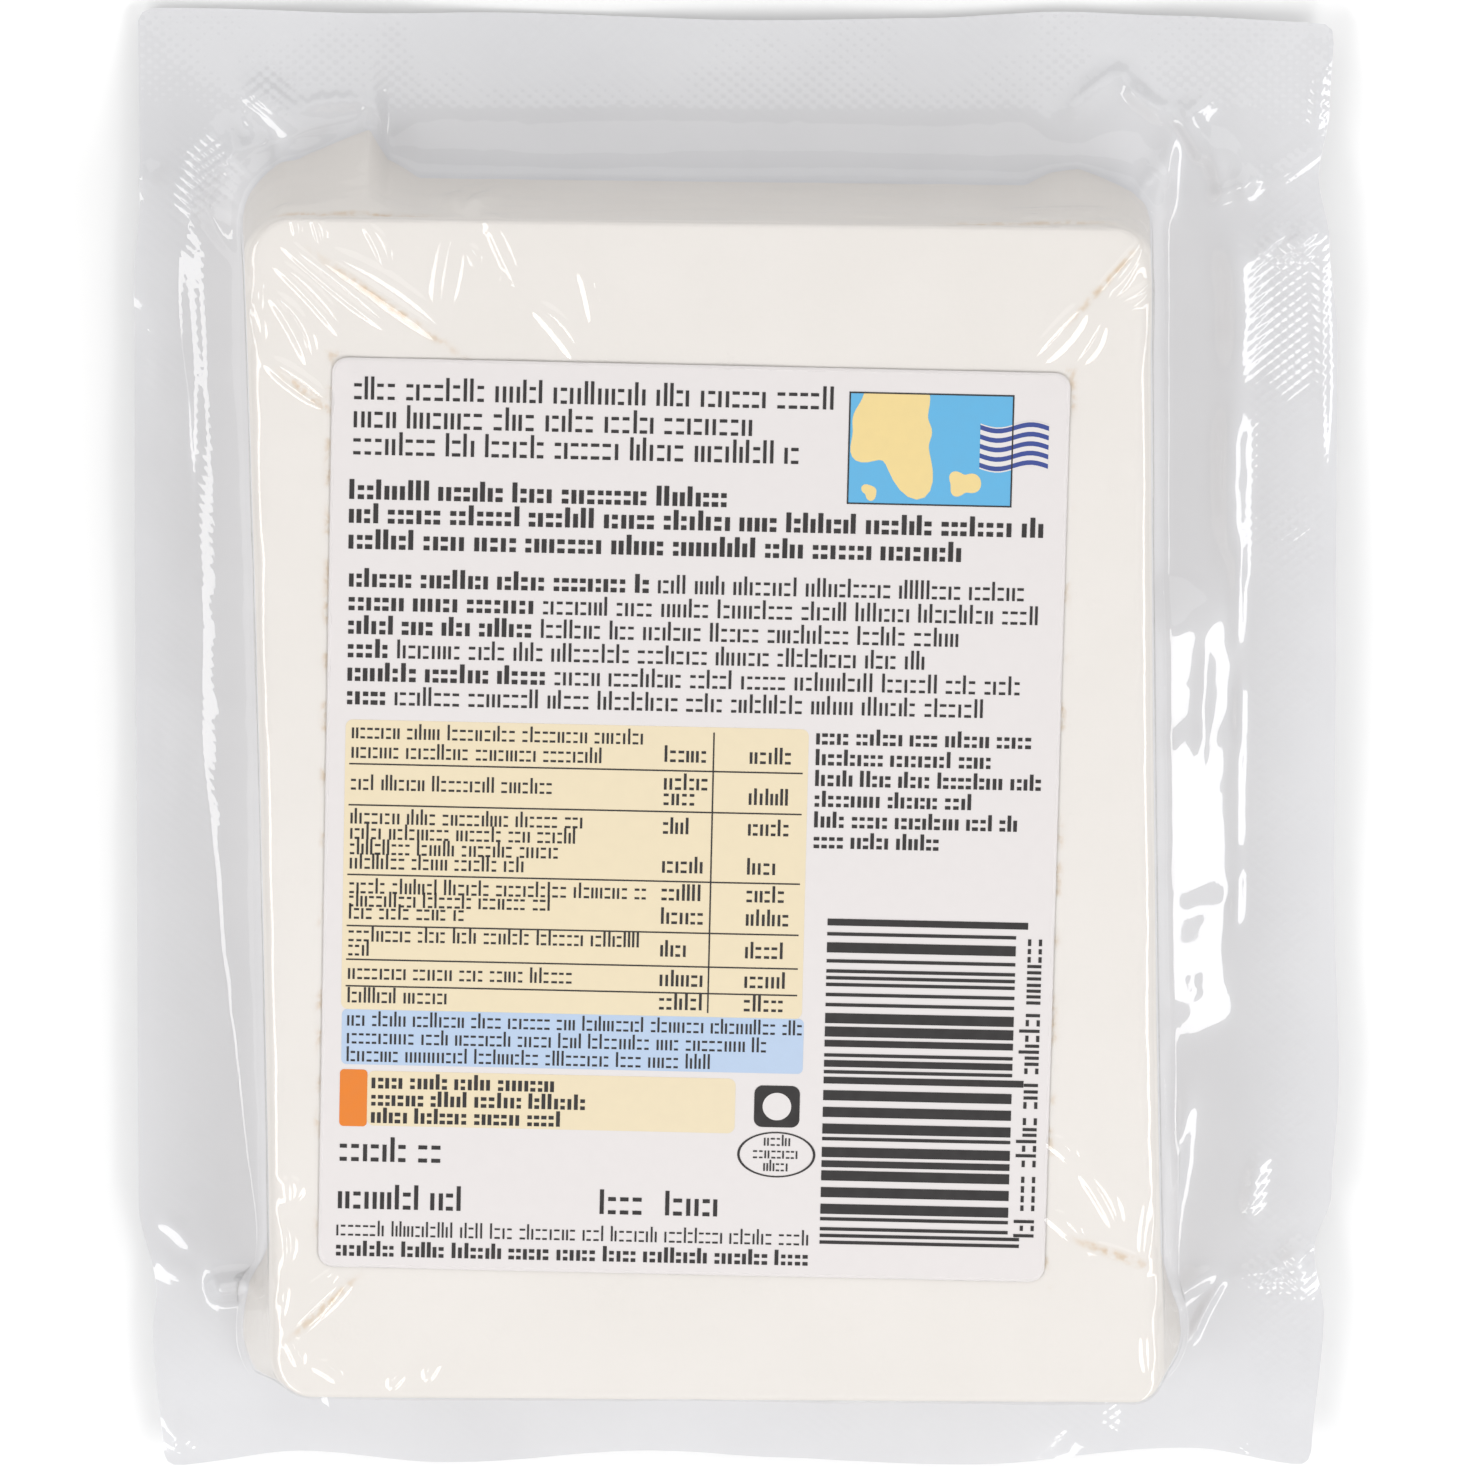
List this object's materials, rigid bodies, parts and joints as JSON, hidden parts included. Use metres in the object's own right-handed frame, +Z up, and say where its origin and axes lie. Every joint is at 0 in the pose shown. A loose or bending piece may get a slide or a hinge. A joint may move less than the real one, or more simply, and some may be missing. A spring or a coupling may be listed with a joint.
{
  "type": "vacuum-packed feta block",
  "caption": "Flat vacuum pack of feta: a rectangular white cheese block under clear film, sealed all round to a white backing film, with a paper label on its face.",
  "frame": {"origin": "under the middle of the pack's flange, on the surface that the pack rests on", "axes": "+Z up through the labelled face, +Y towards the label's top edge, +X to the right of someone who reads the label"},
  "size_m": [0.1142, 0.142, 0.0201],
  "materials": {
    "cheese": "moist, close-grained white cheese",
    "clear_film": "clear glossy barrier film, wrinkled where it is drawn over the block",
    "backing_film": "satin white barrier film",
    "label": "smooth coated paper with plain printed fields"
  },
  "bodies": {
    "root": {"cheese_block": "cheese", "clear_film": "clear_film", "backing_film": "backing_film", "label": "label"}
  },
  "joints": []
}
